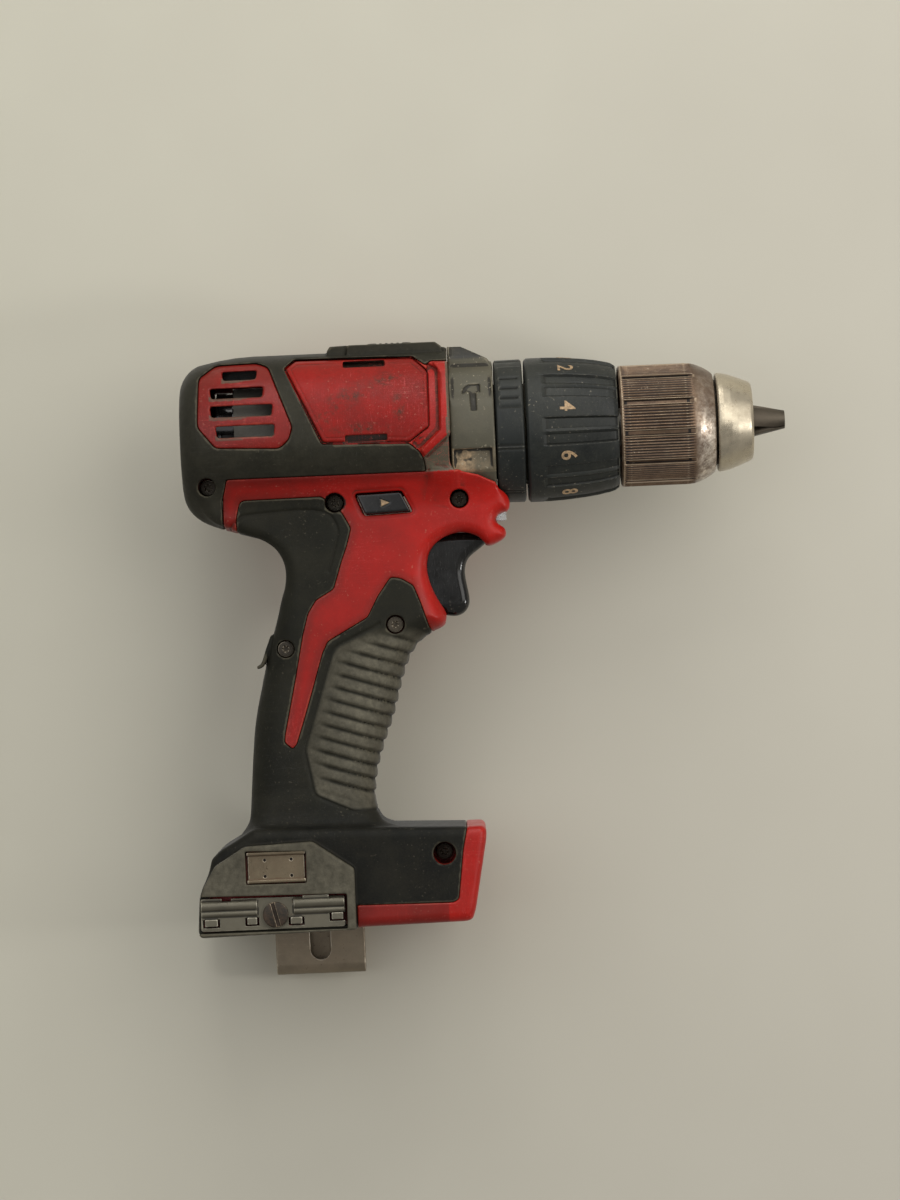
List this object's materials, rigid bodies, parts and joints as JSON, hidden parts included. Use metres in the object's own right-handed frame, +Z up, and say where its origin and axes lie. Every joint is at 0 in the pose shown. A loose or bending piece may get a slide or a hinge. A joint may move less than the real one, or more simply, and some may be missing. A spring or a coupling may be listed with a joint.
{
  "type": "cordless hammer drill driver",
  "caption": "Pistol-grip cordless hammer drill driver body without its battery pack, with keyless chuck, torque and mode collars, trigger, gear train and belt clip.",
  "frame": {"origin": "on the chuck's axis, in the middle of the length where the jaws grip a bit", "axes": "+X along the spindle towards the chuck, +Z up with the handle hanging down, +Y to the tool's left"},
  "size_m": [0.2122, 0.0779, 0.2248],
  "materials": {
    "red_shell": "satin, scuffed",
    "rubber": "matte overmould",
    "badge": "semi gloss",
    "black_plastic": "gloss",
    "collar_plastic": "satin",
    "cast_case": "die cast",
    "sleeve_metal": "worn",
    "nickel": "polished",
    "steel": "machined",
    "dark_steel": "oxide",
    "spring_steel": "bare",
    "sintered": "sintered",
    "nylon": "moulded",
    "copper": "enamelled",
    "magnet": "ferrite",
    "carbon": "matte",
    "lens": "clear",
    "wire": "insulation"
  },
  "bodies": {
    "tool": {"housing_right": "red_shell", "barrel_overmold_right": "rubber", "handle_overmold_right": "rubber", "side_panel_right": "badge", "barrel_overmold_left": "rubber", "handle_overmold_left": "rubber", "side_panel_left": "badge", "housing_left": "red_shell", "housing_screws": "dark_steel", "gear_case": "cast_case", "clutch_thrust_plate": "steel", "clutch_spring": "spring_steel", "ring_gear_1": "nylon", "ring_gear_3": "sintered", "spindle_bearing": "steel", "motor_can": "steel", "motor_magnets": "magnet", "brush_holder": "black_plastic", "carbon_brushes": "carbon", "motor_bearings": "steel", "switch_body": "black_plastic", "led_lens": "lens", "terminal_block": "black_plastic", "wiring": "wire", "bit_holder": "spring_steel", "magnet_tray": "steel", "belt_clip": "dark_steel", "accessory_screws": "dark_steel"},
    "mode_collar": {"mode_collar": "collar_plastic"},
    "clutch_collar": {"clutch_collar": "collar_plastic"},
    "clutch_nut": {"clutch_nut": "steel"},
    "chuck": {"spindle": "steel", "chuck_body": "steel", "chuck_nose_ring": "nickel"},
    "chuck_sleeve": {"chuck_sleeve": "sleeve_metal", "chuck_nut": "steel"},
    "jaw_1": {"chuck_jaw_1": "dark_steel"},
    "jaw_2": {"chuck_jaw_2": "dark_steel"},
    "jaw_3": {"chuck_jaw_3": "dark_steel"},
    "carrier_2": {"carrier_2": "sintered"},
    "carrier_1": {"carrier_1": "sintered"},
    "rotor": {"rotor_shaft": "steel", "rotor_core": "dark_steel", "rotor_windings": "copper", "commutator": "copper", "cooling_fan": "nylon"},
    "trigger": {"trigger": "black_plastic"},
    "direction_button": {"direction_button": "black_plastic"},
    "speed_selector": {"speed_selector": "black_plastic", "shift_fork": "spring_steel"},
    "shift_ring": {"shift_ring_gear": "sintered"},
    "planet_1a": {"planet_1a": "nylon"},
    "planet_1b": {"planet_1b": "nylon"},
    "planet_1c": {"planet_1c": "nylon"},
    "planet_2a": {"planet_2a": "sintered"},
    "planet_2b": {"planet_2b": "sintered"},
    "planet_2c": {"planet_2c": "sintered"},
    "planet_3a": {"planet_3a": "sintered"},
    "planet_3b": {"planet_3b": "sintered"},
    "planet_3c": {"planet_3c": "sintered"}
  },
  "joints": [
    {"name": "spindle_spin", "type": "hinge", "parent": "tool", "child": "chuck", "pos_m": [-0.097, 0, 0], "axis": [1, 0, 0], "continuous": true},
    {"name": "carrier_2_spin", "type": "hinge", "parent": "tool", "child": "carrier_2", "pos_m": [-0.1144, 0, 0], "axis": [1, 0, 0], "continuous": true},
    {"name": "carrier_1_spin", "type": "hinge", "parent": "tool", "child": "carrier_1", "pos_m": [-0.1286, 0, 0], "axis": [1, 0, 0], "continuous": true},
    {"name": "rotor_spin", "type": "hinge", "parent": "tool", "child": "rotor", "pos_m": [-0.167, 0, 0], "axis": [1, 0, 0], "continuous": true},
    {"name": "planet_1a_spin", "type": "hinge", "parent": "carrier_1", "child": "planet_1a", "pos_m": [-0.1335, 0.0105, 0], "axis": [1, 0, 0], "continuous": true},
    {"name": "planet_1b_spin", "type": "hinge", "parent": "carrier_1", "child": "planet_1b", "pos_m": [-0.1335, -0.00525, 0.00909], "axis": [1, 0, 0], "continuous": true},
    {"name": "planet_1c_spin", "type": "hinge", "parent": "carrier_1", "child": "planet_1c", "pos_m": [-0.1335, -0.00525, -0.00909], "axis": [1, 0, 0], "continuous": true},
    {"name": "planet_2a_spin", "type": "hinge", "parent": "carrier_2", "child": "planet_2a", "pos_m": [-0.1199, 0.01155, 0], "axis": [1, 0, 0], "continuous": true},
    {"name": "planet_2b_spin", "type": "hinge", "parent": "carrier_2", "child": "planet_2b", "pos_m": [-0.1199, -0.00577, 0.01], "axis": [1, 0, 0], "continuous": true},
    {"name": "planet_2c_spin", "type": "hinge", "parent": "carrier_2", "child": "planet_2c", "pos_m": [-0.1199, -0.00577, -0.01], "axis": [1, 0, 0], "continuous": true},
    {"name": "planet_3a_spin", "type": "hinge", "parent": "chuck", "child": "planet_3a", "pos_m": [-0.1068, 0.0126, 0], "axis": [1, 0, 0], "continuous": true},
    {"name": "planet_3b_spin", "type": "hinge", "parent": "chuck", "child": "planet_3b", "pos_m": [-0.1068, -0.0063, 0.01091], "axis": [1, 0, 0], "continuous": true},
    {"name": "planet_3c_spin", "type": "hinge", "parent": "chuck", "child": "planet_3c", "pos_m": [-0.1068, -0.0063, -0.01091], "axis": [1, 0, 0], "continuous": true},
    {"name": "chuck_sleeve_turn", "type": "hinge", "parent": "chuck", "child": "chuck_sleeve", "pos_m": [-0.037, 0, 0], "axis": [1, 0, 0], "range_deg": [0, 3240]},
    {"name": "jaw_1_slide", "type": "slide", "parent": "chuck", "child": "jaw_1", "axis": [-0.9703, 0.1711, 0.1711], "range_m": [0, 0.02067]},
    {"name": "jaw_2_slide", "type": "slide", "parent": "chuck", "child": "jaw_2", "axis": [-0.9703, -0.2337, 0.0626], "range_m": [0, 0.02067]},
    {"name": "jaw_3_slide", "type": "slide", "parent": "chuck", "child": "jaw_3", "axis": [-0.9703, 0.0626, -0.2337], "range_m": [0, 0.02067]},
    {"name": "mode_collar_turn", "type": "hinge", "parent": "tool", "child": "mode_collar", "pos_m": [-0.092, 0, 0], "axis": [1, 0, 0], "range_deg": [-40, 40]},
    {"name": "clutch_collar_turn", "type": "hinge", "parent": "tool", "child": "clutch_collar", "pos_m": [-0.07, 0, 0], "axis": [1, 0, 0], "range_deg": [0, 300]},
    {"name": "clutch_nut_slide", "type": "slide", "parent": "tool", "child": "clutch_nut", "axis": [1, 0, 0], "range_m": [-0.004, 0], "deforming": ["clutch_spring"]},
    {"name": "trigger_pull", "type": "slide", "parent": "tool", "child": "trigger", "axis": [-1, 0, 0], "range_m": [0, 0.006], "stiffness_N_per_m": 300, "springref_m": -0.002},
    {"name": "direction_button_slide", "type": "slide", "parent": "tool", "child": "direction_button", "axis": [0, 1, 0], "range_m": [-0.0025, 0.0025]},
    {"name": "speed_selector_slide", "type": "slide", "parent": "tool", "child": "speed_selector", "axis": [-1, 0, 0], "range_m": [0, 0.004]},
    {"name": "shift_ring_slide", "type": "slide", "parent": "tool", "child": "shift_ring", "axis": [-1, 0, 0], "range_m": [0, 0.004]}
  ],
  "couplings": [
    {"joint": "carrier_2_spin", "follows": "spindle_spin", "ratio": 3},
    {"joint": "carrier_1_spin", "follows": "spindle_spin", "ratio": 11},
    {"joint": "rotor_spin", "follows": "spindle_spin", "ratio": 55},
    {"joint": "planet_1a_spin", "follows": "spindle_spin", "ratio": -29.333},
    {"joint": "planet_1b_spin", "follows": "spindle_spin", "ratio": -29.333},
    {"joint": "planet_1c_spin", "follows": "spindle_spin", "ratio": -29.333},
    {"joint": "planet_2a_spin", "follows": "spindle_spin", "ratio": -9.6},
    {"joint": "planet_2b_spin", "follows": "spindle_spin", "ratio": -9.6},
    {"joint": "planet_2c_spin", "follows": "spindle_spin", "ratio": -9.6},
    {"joint": "planet_3a_spin", "follows": "spindle_spin", "ratio": -4},
    {"joint": "planet_3b_spin", "follows": "spindle_spin", "ratio": -4},
    {"joint": "planet_3c_spin", "follows": "spindle_spin", "ratio": -4},
    {"joint": "jaw_1_slide", "follows": "chuck_sleeve_turn", "m_per_rad": 0.00036549},
    {"joint": "jaw_2_slide", "follows": "chuck_sleeve_turn", "m_per_rad": 0.00036549},
    {"joint": "jaw_3_slide", "follows": "chuck_sleeve_turn", "m_per_rad": 0.00036549},
    {"joint": "clutch_nut_slide", "follows": "clutch_collar_turn", "m_per_rad": -0.00076394},
    {"joint": "shift_ring_slide", "follows": "speed_selector_slide", "ratio": 1}
  ]
}
